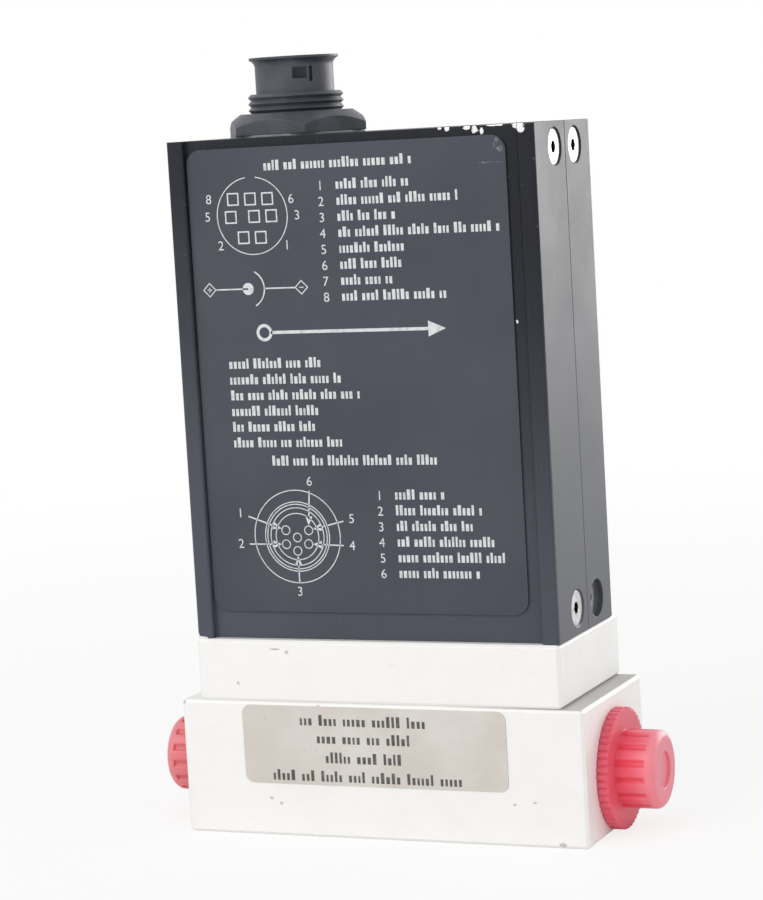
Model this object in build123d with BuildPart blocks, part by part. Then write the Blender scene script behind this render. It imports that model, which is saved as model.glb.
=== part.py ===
from build123d import *
import math
import os

# Gas mass flow meter: an aluminium flow body with a port at each end, a sensor block screwed on top
# of it, and a black two-piece housing that carries the display, the label and a round connector.
# Millimetres, +Z up, +X along the flow. The label side faces -Y and the display side faces +Y.
# The origin is the centre of the flow body's bottom face.

# Flow body and sensor block
flow_length = 61.0
flow_height = 19.4
block_depth = 25.4
block_edge = 0.4
sensor_height = 8.9
foot_height = 7.0  # raised foot of the sensor block, inside the covers

# Housing: two channel-shaped covers that meet on a seam at y = 0, and a plate that closes the top.
# The sensor block is as long as the housing is wide.
housing_width = 55.0
housing_height = 70.8
rear_depth = 12.3
front_depth = 10.6
side_wall = 2.2
web = 2.0
rail_width = 2.5
rail_edge = 0.2
recess_depth = 1.1
housing_edge = 0.5
seam_gap = 0.15
inner_gap = 0.1  # between the covers and what sits inside them
inner_edge = 0.8
top_plate_height = 7.0

# Gas path
port_height = 8.6
port_mouth_r = 6.6
port_depth = 12.0
port_taper = 0.03125  # radius lost for each millimetre of depth, as in a taper pipe thread
port_chamfer = 0.6
bore_r = 4.75
outlet_bore_r = 4.2
element_length = 15.0
element_gap = 0.03
passage_r = 0.7
passage_ring_r = 2.4
passage_count = 8
snap_ring_thickness = 1.0
snap_ring_groove = 0.5
snap_ring_inner_r = 3.7
snap_ring_mouth = 2.4
element_seal_width = 1.0
element_seal_inset = 2.0
tap_r = 0.8
tap_x = 10.0
outer_tap_inset = 5.4  # from the end of the main board
tap_seal_r = 2.5
tap_pocket_r = 2.55
tap_pocket_depth = 1.0

# Fasteners
thread_gap = 0.03
hex_sides = 6
counterbore_gap = 0.15
block_screw_x = 17.2
block_screw_y = 4.4
block_screw_r = 1.25
block_screw_head_r = 2.25
block_screw_head = 2.5
block_screw_grip = 4.4
block_screw_hold = 5.6
block_screw_hex = 2.0
screw_tip_gap = 0.4
side_screw_y = 4.1
side_screw_from_top = 3.45
side_screw_from_bottom = 3.7
side_screw_r = 1.25
side_screw_pass_r = 1.35
side_screw_head_r = 2.45
side_screw_rim_r = 2.7
side_screw_cone = 90
side_screw_length = 6.0
side_screw_hex = 1.6
side_screw_hex_depth = 1.1
side_screw_hold = 5.0
deep_sink = 0.8  # the two lower screws of the display side sit this much deeper
mount_x = 25.4
mount_y = 8.9
mount_r = 1.75
mount_depth = 6.4

# Sensors, on top of the foot and wired to the main board by straight leads
well_r = 1.5
well_depth = 4.0
stem_gap = 0.05
sensor_y = -2.8
sensor_depth = 8.8
differential_length = 24.4
differential_height = 7.0
absolute_length = 5.6
absolute_height = 5.5
lead_r = 0.3
lead_hole_r = 0.35
lead_pitch = 2.54
lead_height = 2.2
lead_reach = 2.3
probe_head_r = 1.75
probe_head = 3.6
probe_tip_r = 0.9
probe_tip = 4.0

# Main board, held in a slot of the foot and a slot of the top plate
board_side_gap = 4.3
board_y = 1.9
board_thickness = 1.6
board_slot = 1.5
slot_gap = 0.05
notch_gap = 1.0
processor_size = 12.0
processor_height = 1.4
processor_z = 54.0
capacitor_r = 3.15
capacitor_length = 6.8
capacitor_x = 12.0
capacitor_z = 60.0
driver_width = 9.9
driver_length = 6.4
driver_height = 2.0
driver_z = 60.0
driver_pitch = 10.0
driver_count = 3
coil_size = 8.0
coil_height = 3.2
coil_x = 12.0
coil_z = 74.0

# Display and its printed faceplate
window_width = 33.0
window_height = 18.0
window_z = 79.0
window_corner = 1.2
window_gap = 0.1
window_border = 1.5
lcd_width = 38.0
lcd_height = 23.0
lcd_thickness = 2.7
strip_width = 2.0
faceplate_thickness = 0.4
faceplate_gap = 0.2
faceplate_end_gap = 1.5
faceplate_corner = 1.5
key_width = 9.0
key_height = 6.5
key_pitch = 12.0
key_count = 4
key_z = 59.0
key_rise = 0.15
key_corner = 1.2

# Label and rating plate
label_side_gap = 0.15
label_far_gap = 1.95
label_top_gap = 1.3
label_bottom_gap = 3.9
label_thickness = 0.3
label_corner = 2.2
plate_height = 11.3
plate_inlet_gap = 9.6
plate_outlet_gap = 11.3
plate_top_gap = 0.45
plate_thickness = 0.15
plate_corner = 1.3

# Connector, whose shell passes through the top plate
connector_from_side = 15.3
connector_height = 11.1
ledge = 3.0  # what is left of the top plate above the shell's flange
flange_r = 7.25
flange_height = 1.5
connector_gap = 0.05
thread_r = 6.8
thread_depth = 0.4
thread_pitch = 0.9
thread_turns = 3
barrel_r = 5.57
lip_r = 6.35
lip_height = 0.35
flare_height = 1.0
flare_curve = 1.05
socket_r = 4.7
socket_depth = 8.0
collar_r = 5.6
collar_height = 2.0
gasket_thickness = 0.3
gasket_r = 9.6
nut_flats = 18.4
nut_height = 3.0
nut_face_r = 8.0
nut_corner_height = 1.1
pin_r = 0.5
pin_circle_r = 2.5
pin_angles = [30, 150, 210, 270, 330]
pin_stand = 3.4
pin_point = 0.25
pin_hole_gap = 0.04
solder_r = 0.9
solder_height = 0.5
key_slot_angle = -58
key_slot_width = 2.0
key_slot_height = 1.6
key_slit_angle = -41
key_slit_width = 0.5
key_slit_height = 2.1
key_slot_drop = 1.6
link_board_length = 16.0
link_board_rear_gap = 0.85
link_board_thickness = 1.2
link_board_drop = 12.7
header_length = 4.2
header_depth = 2.6
header_height = 2.5
header_shift = 5.6

# Red port plugs
plug_gap = 0.08
plug_shank = 9.0
plug_wall = 1.6
plug_core_end = 1.5
plug_flange_r = 8.55
plug_flange = 1.6
plug_teeth = 50
plug_tooth = 0.42
knob_r = 5.5
knob_length = 5.6
knob_rounding = 1.1
knob_flutes = 14
flute_turn = 5.7
flute_r = 0.6
flute_depth = 0.4
flute_end = 1.4  # plain length left between the flutes and the knob's end
dish_r = 2.6
dish_depth = 0.4

# Planes and levels that several pieces share
end_x = flow_length / 2
half_width = housing_width / 2
inner_half_width = half_width - side_wall
recess_half = half_width - rail_width
housing_bottom = flow_height + sensor_height
housing_top = housing_bottom + housing_height
foot_top = housing_bottom + foot_height
plate_bottom = housing_top - top_plate_height
rear_floor = -(rear_depth - recess_depth)
front_floor = front_depth - recess_depth
inner_rear = rear_floor + web
inner_front = front_floor - web
foot_length = 2 * (inner_half_width - inner_gap)
foot_depth = inner_front - inner_rear - 2 * inner_gap
foot_y = (inner_rear + inner_front) / 2
screw_seat_z = flow_height + block_screw_grip
low_screws_z = housing_bottom + side_screw_from_bottom
high_screws_z = housing_top - side_screw_from_top
board_width = 2 * (inner_half_width - board_side_gap)
outer_tap_x = board_width / 2 - outer_tap_inset
board_front = board_y + board_thickness
board_low = foot_top - board_slot
board_high = plate_bottom + board_slot - slot_gap
sensor_front = sensor_y + sensor_depth / 2
lead_z = foot_top + lead_height
connector_x = connector_from_side - half_width
connector_y = foot_y
gasket_top = housing_top + gasket_thickness
nut_top = gasket_top + nut_height
thread_top = nut_top + thread_turns * thread_pitch
connector_top = housing_top + connector_height
socket_floor = connector_top - socket_depth
flange_top = housing_top - ledge
flange_bottom = flange_top - flange_height
collar_bottom = flange_bottom - collar_height
link_board_z = housing_top - link_board_drop
notch_x = connector_x + collar_r + notch_gap
link_board_depth = board_y - slot_gap - inner_rear - link_board_rear_gap

tap_places = [(-outer_tap_x, 0), (-tap_x, 0), (tap_x, 0)]
probe_place = (outer_tap_x, 0)
screw_places = GridLocations(2 * block_screw_x, 2 * block_screw_y, 2, 2).locations
mount_places = GridLocations(2 * mount_x, 2 * mount_y, 2, 2).locations


def side_plane(x, y, z):
    """Plane across the X axis, facing away from the middle of the meter."""
    return Plane(origin=(x, y, z), x_dir=(0, 1, 0), z_dir=(1 if x > 0 else -1, 0, 0))


def screw_sink(facing, z):
    """How far a side screw's hole starts below the face: only the lower display screws are deep."""
    return deep_sink if facing > 0 and z == low_screws_z else 0


def lead_places(x, count):
    """Lead positions on the main board, side by side and centred on x."""
    return [(x + (i - (count - 1) / 2) * lead_pitch, lead_z) for i in range(count)]


def port_radius(x):
    """Radius of the taper port at a distance x from the middle of the flow body."""
    return port_mouth_r - port_taper * (end_x - x)


differential_leads = lead_places(0, 5)
absolute_leads = lead_places(-outer_tap_x, 2)
probe_leads = lead_places(outer_tap_x, 2)

os.makedirs("parts", exist_ok=True)

# Flow body: a taper port at each end, the bore between them, and the taps up to the sensors
with BuildPart() as flow_body:
    with BuildSketch():
        Rectangle(flow_length, block_depth)
    extrude(amount=flow_height)
    chamfer(flow_body.edges(), length=block_edge)
    with BuildSketch(Plane.XZ):
        throat_x = end_x - port_depth
        shoulder_x = element_length / 2
        groove_x = -shoulder_x - snap_ring_thickness
        profile = [
            (-end_x, 0),
            (-end_x, port_mouth_r + port_chamfer),
            (-end_x + port_chamfer, port_radius(end_x - port_chamfer)),
            (-throat_x, port_radius(throat_x)),
            (-throat_x, bore_r),
            (groove_x, bore_r),
            (groove_x, bore_r + snap_ring_groove),
            (-shoulder_x, bore_r + snap_ring_groove),
            (-shoulder_x, bore_r),
            (shoulder_x, bore_r),
            (shoulder_x, outlet_bore_r),
            (throat_x, outlet_bore_r),
            (throat_x, port_radius(throat_x)),
            (end_x - port_chamfer, port_radius(end_x - port_chamfer)),
            (end_x, port_mouth_r + port_chamfer),
            (end_x, 0),
        ]
        with BuildLine():
            Polyline(*[(x, port_height + r) for x, r in profile], close=True)
        make_face()
    revolve(axis=Axis((0, 0, port_height), (1, 0, 0)), mode=Mode.SUBTRACT)
    with BuildSketch(Plane.XY.offset(flow_height)):
        with Locations(*tap_places, probe_place):
            Circle(tap_pocket_r)
    extrude(amount=-tap_pocket_depth, mode=Mode.SUBTRACT)
    with BuildSketch(Plane.XY.offset(flow_height)):
        with Locations(*tap_places):
            Circle(tap_r)
        with Locations(probe_place):
            Circle(well_r)
    extrude(amount=-(flow_height - port_height), mode=Mode.SUBTRACT)
    with BuildSketch(Plane.XY.offset(flow_height)):
        with Locations(*screw_places):
            Circle(block_screw_r + thread_gap)
    extrude(amount=-block_screw_hold, mode=Mode.SUBTRACT)
    with BuildSketch():
        with Locations(*mount_places):
            Circle(mount_r)
    extrude(amount=mount_depth, mode=Mode.SUBTRACT)
flow_body.part.label = "flow_body"
export_step(flow_body.part, "parts/flow_body.step")

# Laminar flow element: a cylinder of fine parallel passages, seated against the bore's shoulder
element_start = side_plane(shoulder_x, 0, port_height).offset(-element_length)
element_r = bore_r - element_gap
seal_channel = element_seal_width + element_gap
seal_floor_r = bore_r - seal_channel
with BuildPart() as laminar_element:
    with BuildSketch(element_start):
        Circle(element_r)
        with PolarLocations(passage_ring_r, passage_count):
            Circle(passage_r, mode=Mode.SUBTRACT)
    extrude(amount=element_length)
    with BuildSketch(element_start.offset(element_seal_inset)):
        Circle(element_r)
        Circle(seal_floor_r, mode=Mode.SUBTRACT)
    extrude(amount=seal_channel, mode=Mode.SUBTRACT)
laminar_element.part.label = "laminar_element"
export_step(laminar_element.part, "parts/laminar_element.step")

with BuildPart() as element_seal:
    with BuildSketch(element_start.offset(element_seal_inset)):
        Circle(element_r)
        Circle(seal_floor_r, mode=Mode.SUBTRACT)
    extrude(amount=element_seal_width)
element_seal.part.label = "element_seal"
export_step(element_seal.part, "parts/element_seal.step")

# Snap ring in the bore's groove, which keeps the element against its shoulder
with BuildPart() as snap_ring:
    with BuildSketch(element_start):
        Circle(bore_r + snap_ring_groove - element_gap)
        Circle(snap_ring_inner_r, mode=Mode.SUBTRACT)
        with Locations((0, -bore_r)):
            Rectangle(snap_ring_mouth, 2 * snap_ring_groove + bore_r, mode=Mode.SUBTRACT)
    extrude(amount=2 * element_gap - snap_ring_thickness)
snap_ring.part.label = "snap_ring"
export_step(snap_ring.part, "parts/snap_ring.step")

# Sealing washers where the taps and the probe cross from one block to the other
with BuildPart() as tap_seals:
    with BuildSketch(Plane.XY.offset(flow_height)):
        with Locations(*tap_places, probe_place):
            Circle(tap_seal_r)
            Circle(well_r, mode=Mode.SUBTRACT)
    extrude(amount=-tap_pocket_depth)
tap_seals.part.label = "tap_seals"
export_step(tap_seals.part, "parts/tap_seals.step")

# Sensor block, with the foot that the covers close around
with BuildPart() as sensor_block:
    with BuildSketch(Plane.XY.offset(flow_height)):
        Rectangle(housing_width, block_depth)
    extrude(amount=sensor_height)
    chamfer(sensor_block.edges(), length=block_edge)
    with BuildSketch(Plane.XY.offset(housing_bottom)):
        with Locations((0, foot_y)):
            RectangleRounded(foot_length, foot_depth, inner_edge)
    extrude(amount=foot_height)
    with BuildSketch(Plane.XY.offset(foot_top)):
        with Locations(*tap_places):
            Circle(tap_r)
        with Locations(probe_place):
            Circle(well_r)
    extrude(amount=-(foot_height + sensor_height), mode=Mode.SUBTRACT)
    with BuildSketch(Plane.XY.offset(foot_top)):
        with Locations(*tap_places):
            Circle(well_r)
    extrude(amount=-well_depth, mode=Mode.SUBTRACT)
    with Locations(*[(place.position.X, place.position.Y, foot_top) for place in screw_places]):
        CounterBoreHole(
            radius=block_screw_r + counterbore_gap,
            counter_bore_radius=block_screw_head_r + counterbore_gap,
            counter_bore_depth=foot_top - screw_seat_z,
            depth=foot_height + sensor_height,
        )
    with BuildSketch(Plane.XY.offset(foot_top)):
        with Locations((0, board_y + board_thickness / 2)):
            Rectangle(board_width + 2 * slot_gap, board_thickness + 2 * slot_gap)
    extrude(amount=-board_slot, mode=Mode.SUBTRACT)
    for side in (-1, 1):
        for facing in (-1, 1):
            with Locations(side_plane(side * foot_length / 2, facing * side_screw_y, low_screws_z)):
                Hole(side_screw_r + thread_gap, depth=side_screw_hold)
sensor_block.part.label = "sensor_block"
export_step(sensor_block.part, "parts/sensor_block.step")

# Socket head screws that hold the two blocks together
with BuildPart() as block_screws:
    with BuildSketch(Plane.XY.offset(screw_seat_z)):
        with Locations(*screw_places):
            Circle(block_screw_head_r)
    extrude(amount=block_screw_head)
    with BuildSketch(Plane.XY.offset(screw_seat_z)):
        with Locations(*screw_places):
            Circle(block_screw_r)
    extrude(amount=-(block_screw_grip + block_screw_hold - screw_tip_gap))
    with BuildSketch(Plane.XY.offset(screw_seat_z + block_screw_head)):
        with Locations(*screw_places):
            RegularPolygon(block_screw_hex / 2, hex_sides, major_radius=False)
    extrude(amount=-block_screw_head / 2, mode=Mode.SUBTRACT)
block_screws.part.label = "block_screws"
export_step(block_screws.part, "parts/block_screws.step")


def tap_sensor(x, length, height, nipples, leads):
    """Pressure sensor on top of the foot, with a nipple in each well and leads through the board."""
    with BuildPart() as sensor:
        with BuildSketch(Plane.XY.offset(foot_top)):
            with Locations((x, sensor_y)):
                Rectangle(length, sensor_depth)
        extrude(amount=height)
        fillet(sensor.edges().group_by(Axis.Z)[-1], radius=inner_edge)
        with BuildSketch(Plane.XY.offset(foot_top)):
            with Locations(*nipples):
                Circle(well_r - stem_gap)
        extrude(amount=-(well_depth - stem_gap))
        with BuildSketch(Plane.XY.offset(foot_top - well_depth)):
            with Locations(*nipples):
                Circle(tap_r)
        extrude(amount=well_depth, mode=Mode.SUBTRACT)
        with BuildSketch(Plane.XZ.offset(-sensor_front)):
            with Locations(*leads):
                Circle(lead_r)
        extrude(amount=-lead_reach)
    return sensor


differential_sensor = tap_sensor(
    0, differential_length, differential_height, tap_places[1:], differential_leads
)
differential_sensor.part.label = "differential_sensor"
export_step(differential_sensor.part, "parts/differential_sensor.step")

absolute_sensor = tap_sensor(
    -outer_tap_x, absolute_length, absolute_height, tap_places[:1], absolute_leads
)
absolute_sensor.part.label = "absolute_sensor"
export_step(absolute_sensor.part, "parts/absolute_sensor.step")

# Temperature probe, whose thin tip stands in the gas on the outlet side
with BuildPart() as temperature_probe:
    with BuildSketch(Plane.XY.offset(foot_top)):
        with Locations(probe_place):
            Circle(probe_head_r)
    extrude(amount=probe_head)
    with BuildSketch(Plane.XY.offset(foot_top)):
        with Locations(probe_place):
            Circle(well_r - stem_gap)
    extrude(amount=-(foot_top - port_height - probe_tip))
    with BuildSketch(Plane.XY.offset(port_height)):
        with Locations(probe_place):
            Circle(probe_tip_r)
    extrude(amount=probe_tip)
    with BuildSketch(Plane.XZ):
        with Locations(*probe_leads):
            Circle(lead_r)
    extrude(amount=-(sensor_front + lead_reach))
temperature_probe.part.label = "temperature_probe"
export_step(temperature_probe.part, "parts/temperature_probe.step")


def channel_cover(depth, facing):
    """One cover: an upright channel with a recessed face between two rails, drilled for its screws."""
    seam = facing * seam_gap / 2
    near = Align.MIN if facing > 0 else Align.MAX
    far = Align.MAX if facing > 0 else Align.MIN
    with BuildPart() as cover:
        with BuildSketch(Plane.XY.offset(housing_bottom)):
            with Locations((0, seam)):
                Rectangle(housing_width, depth - seam_gap / 2, align=(Align.CENTER, near))
                Rectangle(
                    2 * inner_half_width,
                    depth - recess_depth - web - seam_gap / 2,
                    align=(Align.CENTER, near),
                    mode=Mode.SUBTRACT,
                )
            with Locations((0, facing * depth)):
                Rectangle(2 * recess_half, recess_depth, align=(Align.CENTER, far), mode=Mode.SUBTRACT)
        extrude(amount=housing_height)
        outward = Axis((0, 0, 0), (0, facing, 0))
        inner_corners = cover.edges().filter_by(Axis.Z).group_by(outward)[1]
        fillet(inner_corners, radius=inner_edge)
        rail_corners = cover.edges().filter_by(Axis.Z).group_by(outward)[-1].sort_by(Axis.X)
        chamfer(rail_corners[1:3], length=rail_edge)
        rail_corners = cover.edges().filter_by(Axis.Z).group_by(outward)[-1].sort_by(Axis.X)
        fillet([rail_corners[0], rail_corners[-1]], radius=housing_edge)
        for side in (-1, 1):
            for z in (low_screws_z, high_screws_z):
                sink = screw_sink(facing, z)
                face = side_plane(side * half_width, facing * side_screw_y, z)
                if sink:
                    with Locations(face):
                        Hole(side_screw_rim_r, depth=sink)
                with Locations(face.offset(-sink)):
                    CounterSinkHole(
                        radius=side_screw_pass_r,
                        counter_sink_radius=side_screw_rim_r,
                        depth=side_wall + inner_gap,
                        counter_sink_angle=side_screw_cone,
                    )
    return cover


# Rear cover, with the label in its recess
rear_cover = channel_cover(rear_depth, -1)
rear_cover.part.label = "rear_cover"
export_step(rear_cover.part, "parts/rear_cover.step")

# Front cover, with the opening for the display
front_channel = channel_cover(front_depth, 1)
with BuildPart() as front_cover:
    add(front_channel.part)
    with BuildSketch(Plane.XZ.offset(-inner_front)):
        with Locations((0, window_z)):
            RectangleRounded(window_width, window_height, window_corner)
    extrude(amount=-web, mode=Mode.SUBTRACT)
front_cover.part.label = "front_cover"
export_step(front_cover.part, "parts/front_cover.step")

# Top plate between the covers, with the stepped hole for the connector
with BuildPart() as top_plate:
    with BuildSketch(Plane.XY.offset(plate_bottom)):
        with Locations((0, foot_y)):
            RectangleRounded(foot_length, foot_depth, inner_edge)
    extrude(amount=top_plate_height)
    with BuildSketch(Plane.XY.offset(plate_bottom)):
        with Locations((connector_x, connector_y)):
            Circle(thread_r + connector_gap)
    extrude(amount=top_plate_height, mode=Mode.SUBTRACT)
    with BuildSketch(Plane.XY.offset(plate_bottom)):
        with Locations((connector_x, connector_y)):
            Circle(flange_r + connector_gap)
    extrude(amount=flange_top - plate_bottom, mode=Mode.SUBTRACT)
    slot_end = board_width / 2 + slot_gap
    with BuildSketch(Plane.XY.offset(plate_bottom)):
        with Locations((notch_x - slot_gap, board_y - slot_gap)):
            Rectangle(
                slot_end - notch_x + slot_gap,
                board_thickness + 2 * slot_gap,
                align=(Align.MIN, Align.MIN),
            )
    extrude(amount=board_slot, mode=Mode.SUBTRACT)
    for side in (-1, 1):
        for facing in (-1, 1):
            with Locations(side_plane(side * foot_length / 2, facing * side_screw_y, high_screws_z)):
                Hole(side_screw_r + thread_gap, depth=side_screw_hold)
top_plate.part.label = "top_plate"
export_step(top_plate.part, "parts/top_plate.step")

# Flat head screws through the covers' side walls, into the foot and the top plate
head_slope = 1 / math.tan(math.radians(side_screw_cone / 2))
head_cone = (side_screw_head_r - side_screw_r) * head_slope
head_drop = (side_screw_rim_r - side_screw_head_r) * head_slope
below = (Align.CENTER, Align.CENTER, Align.MAX)
with BuildPart() as side_screws:
    for side in (-1, 1):
        for facing in (-1, 1):
            for z in (low_screws_z, high_screws_z):
                sink = head_drop + screw_sink(facing, z)
                face = side_plane(side * (half_width - sink), facing * side_screw_y, z)
                with Locations(face):
                    Cone(side_screw_r, side_screw_head_r, head_cone, align=below)
                    Cylinder(side_screw_r, side_screw_length, align=below)
                with BuildSketch(face):
                    RegularPolygon(side_screw_hex / 2, hex_sides, major_radius=False)
                extrude(amount=-side_screw_hex_depth, mode=Mode.SUBTRACT)
side_screws.part.label = "side_screws"
export_step(side_screws.part, "parts/side_screws.step")

# Main board, upright behind the display
with BuildPart() as main_board:
    with BuildSketch(Plane.XZ.offset(-board_front)):
        with Locations((0, board_low)):
            Rectangle(board_width, board_high - board_low, align=(Align.CENTER, Align.MIN))
        with Locations((-board_width / 2, board_high)):
            Rectangle(
                notch_x + board_width / 2,
                board_high - plate_bottom + slot_gap,
                align=(Align.MIN, Align.MAX),
                mode=Mode.SUBTRACT,
            )
        with Locations(*differential_leads, *absolute_leads, *probe_leads):
            Circle(lead_hole_r, mode=Mode.SUBTRACT)
    extrude(amount=board_thickness)
main_board.part.label = "main_board"
export_step(main_board.part, "parts/main_board.step")

with BuildPart() as processor:
    with BuildSketch(Plane.XZ.offset(-board_front)):
        with Locations((0, processor_z)):
            Rectangle(processor_size, processor_size)
    extrude(amount=-processor_height)
    chamfer(processor.faces().sort_by(Axis.Y)[-1].edges(), length=block_edge)
processor.part.label = "processor"
export_step(processor.part, "parts/processor.step")

# Parts on the back of the board: two capacitors, three driver chips and a coil
with BuildPart() as board_parts:
    with BuildSketch(Plane.XZ.offset(-board_y)):
        with Locations((-capacitor_x, capacitor_z), (capacitor_x, capacitor_z)):
            Circle(capacitor_r)
    extrude(amount=capacitor_length)
    with BuildSketch(Plane.XZ.offset(-board_y)):
        with Locations((0, driver_z)):
            with GridLocations(driver_pitch, driver_pitch, 1, driver_count):
                Rectangle(driver_width, driver_length)
    extrude(amount=driver_height)
    with BuildSketch(Plane.XZ.offset(-board_y)):
        with Locations((coil_x, coil_z)):
            RectangleRounded(coil_size, coil_size, inner_edge)
    extrude(amount=coil_height)
board_parts.part.label = "board_parts"
export_step(board_parts.part, "parts/board_parts.step")

# Display: the glass module, the conductive strips behind it and the window in front
lcd_back = inner_front - inner_gap - lcd_thickness
with BuildPart() as lcd_module:
    with BuildSketch(Plane.XZ.offset(-lcd_back)):
        with Locations((0, window_z)):
            Rectangle(lcd_width, lcd_height)
    extrude(amount=-lcd_thickness)
lcd_module.part.label = "lcd_module"
export_step(lcd_module.part, "parts/lcd_module.step")

with BuildPart() as lcd_strips:
    strip_level = (lcd_height - strip_width) / 2
    with BuildSketch(Plane.XZ.offset(-board_front)):
        with Locations((0, window_z - strip_level), (0, window_z + strip_level)):
            Rectangle(window_width, strip_width)
    extrude(amount=-(lcd_back - board_front))
lcd_strips.part.label = "lcd_strips"
export_step(lcd_strips.part, "parts/lcd_strips.step")

with BuildPart() as display_window:
    with BuildSketch(Plane.XZ.offset(-inner_front)):
        with Locations((0, window_z)):
            RectangleRounded(
                window_width - 2 * window_gap,
                window_height - 2 * window_gap,
                window_corner,
            )
    extrude(amount=-web)
display_window.part.label = "display_window"
export_step(display_window.part, "parts/display_window.step")

# Faceplate: a printed film in the front recess, open over the window, with four raised keys
faceplate_height = housing_height - 2 * faceplate_end_gap
faceplate_z = housing_bottom + housing_height / 2
with BuildPart() as faceplate:
    with BuildSketch(Plane.XZ.offset(-front_floor)):
        with Locations((0, faceplate_z)):
            RectangleRounded(2 * (recess_half - faceplate_gap), faceplate_height, faceplate_corner)
        with Locations((0, window_z)):
            RectangleRounded(
                window_width - 2 * window_border,
                window_height - 2 * window_border,
                window_corner,
                mode=Mode.SUBTRACT,
            )
    extrude(amount=-faceplate_thickness)
    with BuildSketch(Plane.XZ.offset(-front_floor - faceplate_thickness)):
        with Locations((0, key_z)):
            with GridLocations(key_pitch, key_pitch, key_count, 1):
                RectangleRounded(key_width, key_height, key_corner)
    extrude(amount=-key_rise)
faceplate.part.label = "faceplate"
export_step(faceplate.part, "parts/faceplate.step")

# Label plate, pushed against the left rail of the rear recess
label_width = 2 * recess_half - label_side_gap - label_far_gap
label_height = housing_height - label_top_gap - label_bottom_gap
label_x = -recess_half + label_side_gap + label_width / 2
label_z = housing_top - label_top_gap - label_height / 2
with BuildPart() as rear_label:
    with BuildSketch(Plane.XZ.offset(-rear_floor)):
        with Locations((label_x, label_z)):
            RectangleRounded(label_width, label_height, label_corner)
    extrude(amount=label_thickness)
rear_label.part.label = "rear_label"
export_step(rear_label.part, "parts/rear_label.step")

# Foil rating plate on the flow body
plate_width = flow_length - plate_inlet_gap - plate_outlet_gap
plate_x = (plate_inlet_gap - plate_outlet_gap) / 2
with BuildPart() as rating_plate:
    with BuildSketch(Plane.XZ.offset(block_depth / 2)):
        with Locations((plate_x, flow_height - plate_top_gap - plate_height / 2)):
            RectangleRounded(plate_width, plate_height, plate_corner)
    extrude(amount=plate_thickness)
rating_plate.part.label = "rating_plate"
export_step(rating_plate.part, "parts/rating_plate.step")

# Connector shell: inner flange, mounting thread, barrel with a flared lip, and key openings
connector_axis = Axis((connector_x, connector_y, 0), (0, 0, 1))
connector_section = Plane(origin=(connector_x, connector_y, 0), x_dir=(1, 0, 0), z_dir=(0, -1, 0))
lip_bottom = connector_top - lip_height
with BuildPart() as connector_shell:
    thread_root = thread_r - thread_depth
    ridges = []
    for turn in range(thread_turns):
        ridges.append((thread_r, nut_top + (turn + 0.5) * thread_pitch))
        ridges.append((thread_root, nut_top + (turn + 1) * thread_pitch))
    with BuildSketch(connector_section):
        with BuildLine():
            Polyline(
                (barrel_r, thread_top),
                *reversed(ridges),
                (thread_root, nut_top),
                (thread_r, nut_top),
                (thread_r, flange_top),
                (flange_r, flange_top),
                (flange_r, flange_bottom),
                (socket_r, flange_bottom),
                (socket_r, connector_top),
                (lip_r, connector_top),
                (lip_r, lip_bottom),
            )
            RadiusArc((lip_r, lip_bottom), (barrel_r, lip_bottom - flare_height), -flare_curve)
            Line((barrel_r, lip_bottom - flare_height), (barrel_r, thread_top))
        make_face()
    revolve(axis=connector_axis)
    for angle, width, height in (
        (key_slot_angle, key_slot_width, key_slot_height),
        (key_slit_angle, key_slit_width, key_slit_height),
    ):
        opening = Plane(origin=(connector_x, connector_y, connector_top - key_slot_drop), z_dir=(0, 0, 1))
        with BuildSketch(opening):
            with PolarLocations(socket_r, 1, start_angle=angle):
                Rectangle(2 * (lip_r - socket_r), width)
        extrude(amount=-height, mode=Mode.SUBTRACT)
connector_shell.part.label = "connector_shell"
export_step(connector_shell.part, "parts/connector_shell.step")

# Insert: a solid core that carries the pins, with a collar behind the shell's flange
connector_base = Plane(origin=(connector_x, connector_y, 0), z_dir=(0, 0, 1))
pin_places = [(0, 0)]
for angle in pin_angles:
    turned = math.radians(angle)
    pin_places.append((pin_circle_r * math.cos(turned), pin_circle_r * math.sin(turned)))
with BuildPart() as connector_insert:
    with BuildSketch(connector_base.offset(collar_bottom)):
        Circle(collar_r)
    extrude(amount=collar_height)
    with BuildSketch(connector_base.offset(flange_bottom)):
        Circle(socket_r - connector_gap)
    extrude(amount=socket_floor - flange_bottom)
    with BuildSketch(connector_base.offset(collar_bottom)):
        with Locations(*pin_places):
            Circle(pin_r + pin_hole_gap)
    extrude(amount=socket_floor - collar_bottom, mode=Mode.SUBTRACT)
connector_insert.part.label = "connector_insert"
export_step(connector_insert.part, "parts/connector_insert.step")

# Pins: one in the middle and five around it, soldered under the small board below
with BuildPart() as contact_pins:
    with BuildSketch(connector_base.offset(link_board_z)):
        with Locations(*pin_places):
            Circle(pin_r)
    extrude(amount=socket_floor + pin_stand - link_board_z)
    chamfer(contact_pins.edges().group_by(Axis.Z)[-1], length=pin_point)
    with BuildSketch(connector_base.offset(link_board_z)):
        with Locations(*pin_places):
            Circle(solder_r)
    extrude(amount=-solder_height)
contact_pins.part.label = "contact_pins"
export_step(contact_pins.part, "parts/contact_pins.step")

with BuildPart() as connector_gasket:
    with BuildSketch(connector_base.offset(housing_top)):
        Circle(gasket_r)
        Circle(thread_r + thread_gap, mode=Mode.SUBTRACT)
    extrude(amount=gasket_thickness)
connector_gasket.part.label = "connector_gasket"
export_step(connector_gasket.part, "parts/connector_gasket.step")

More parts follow.
